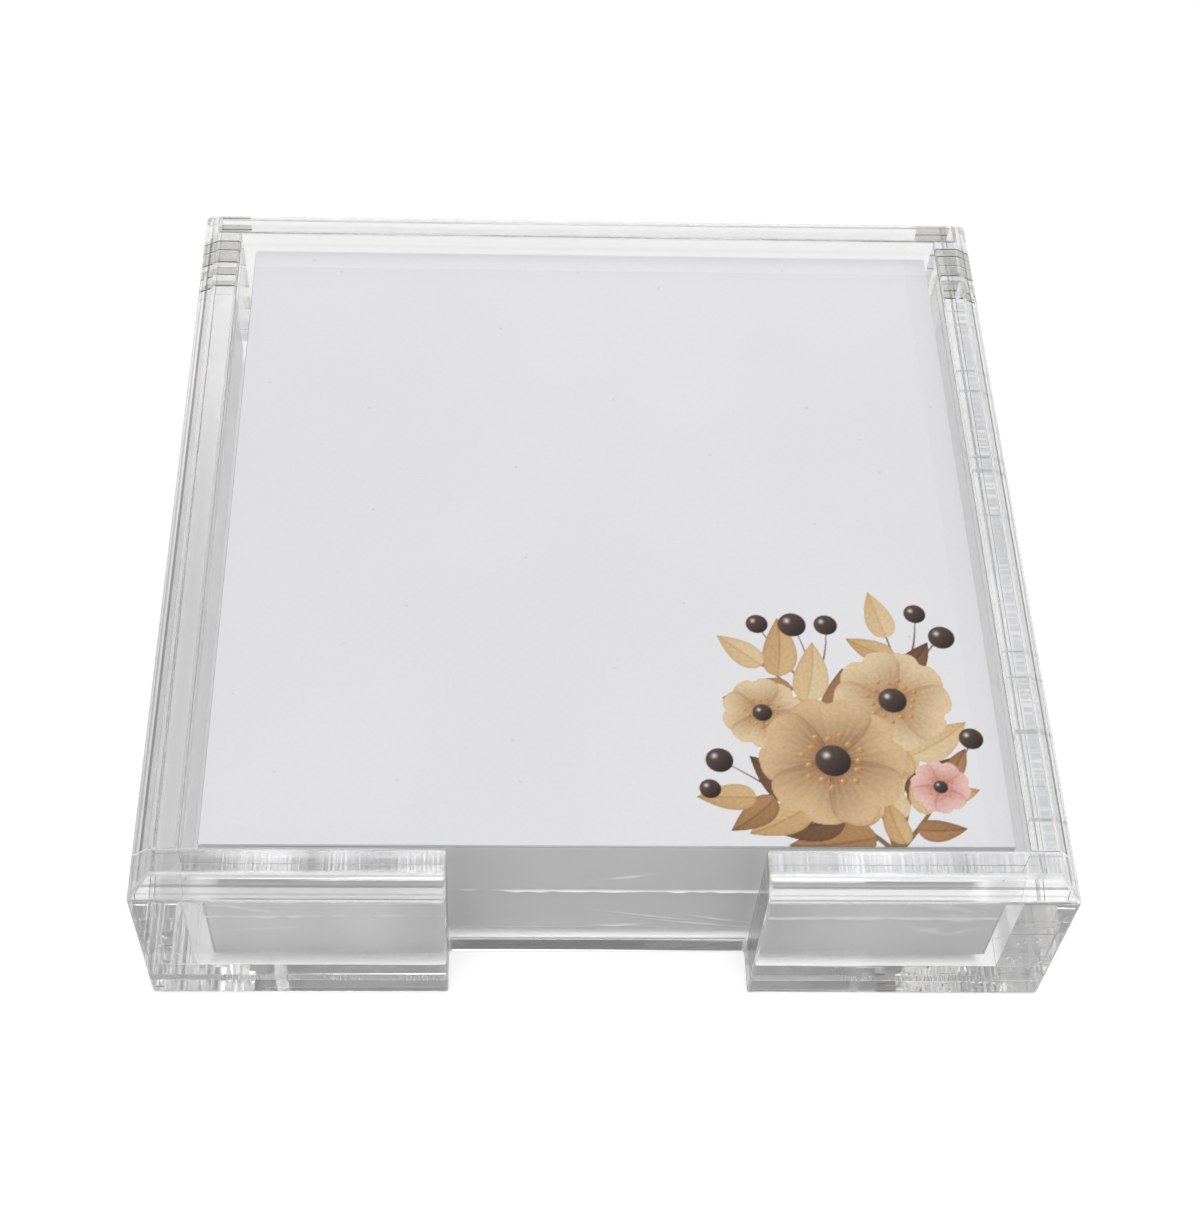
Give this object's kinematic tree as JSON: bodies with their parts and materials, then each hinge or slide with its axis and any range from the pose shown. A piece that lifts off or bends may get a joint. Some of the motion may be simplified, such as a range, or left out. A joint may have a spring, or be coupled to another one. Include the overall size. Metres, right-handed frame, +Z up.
{
  "type": "note card holder",
  "caption": "Square clear acrylic tray with thick bevelled walls and a finger notch in the front, holding a stack of loose white note cards.",
  "frame": {"origin": "under the middle of the tray's footprint, on the surface that it stands on", "axes": "+X to the right, the front with the finger notch faces -Y, +Z up"},
  "size_m": [0.117, 0.117, 0.0286],
  "materials": {
    "clear_acrylic": "clear cast acrylic, polished",
    "card_stock": "smooth white cover stock",
    "printed_card_stock": "smooth white cover stock, printed"
  },
  "bodies": {
    "tray": {"base_plate": "clear_acrylic", "back_wall": "clear_acrylic", "left_wall": "clear_acrylic", "right_wall": "clear_acrylic", "front_left_wall": "clear_acrylic", "front_right_wall": "clear_acrylic"},
    "card_stack": {"note_card_01": "card_stock", "note_card_02": "card_stock", "note_card_03": "card_stock", "note_card_04": "card_stock", "note_card_05": "card_stock", "note_card_06": "card_stock", "note_card_07": "card_stock", "note_card_08": "card_stock", "note_card_09": "card_stock", "note_card_10": "card_stock", "note_card_11": "card_stock", "note_card_12": "card_stock", "note_card_13": "card_stock", "note_card_14": "card_stock", "note_card_15": "card_stock", "note_card_16": "card_stock", "note_card_17": "card_stock", "note_card_18": "card_stock", "note_card_19": "card_stock", "note_card_20": "card_stock", "note_card_21": "card_stock", "note_card_22": "card_stock", "note_card_23": "card_stock", "note_card_24": "card_stock", "note_card_25": "card_stock", "note_card_26": "card_stock", "note_card_27": "card_stock", "note_card_28": "card_stock", "note_card_29": "card_stock", "note_card_30": "card_stock", "note_card_31": "card_stock", "note_card_32": "card_stock", "note_card_33": "card_stock", "note_card_34": "card_stock", "note_card_35": "card_stock", "note_card_36": "card_stock", "note_card_37": "card_stock", "note_card_38": "card_stock", "note_card_39": "card_stock", "note_card_40": "card_stock", "note_card_41": "card_stock", "note_card_42": "card_stock", "note_card_43": "card_stock", "note_card_44": "card_stock", "note_card_45": "card_stock", "note_card_46": "card_stock", "note_card_47": "card_stock", "note_card_48": "card_stock", "note_card_49": "card_stock"},
    "top_card": {"note_card_50": "printed_card_stock"}
  },
  "joints": [
    {"name": "stack_lift", "type": "slide", "parent": "tray", "child": "card_stack", "axis": [0, 0, 1], "range_m": [0, 0.04]},
    {"name": "top_card_lift", "type": "slide", "parent": "card_stack", "child": "top_card", "axis": [0, 0, 1], "range_m": [0, 0.04]}
  ]
}
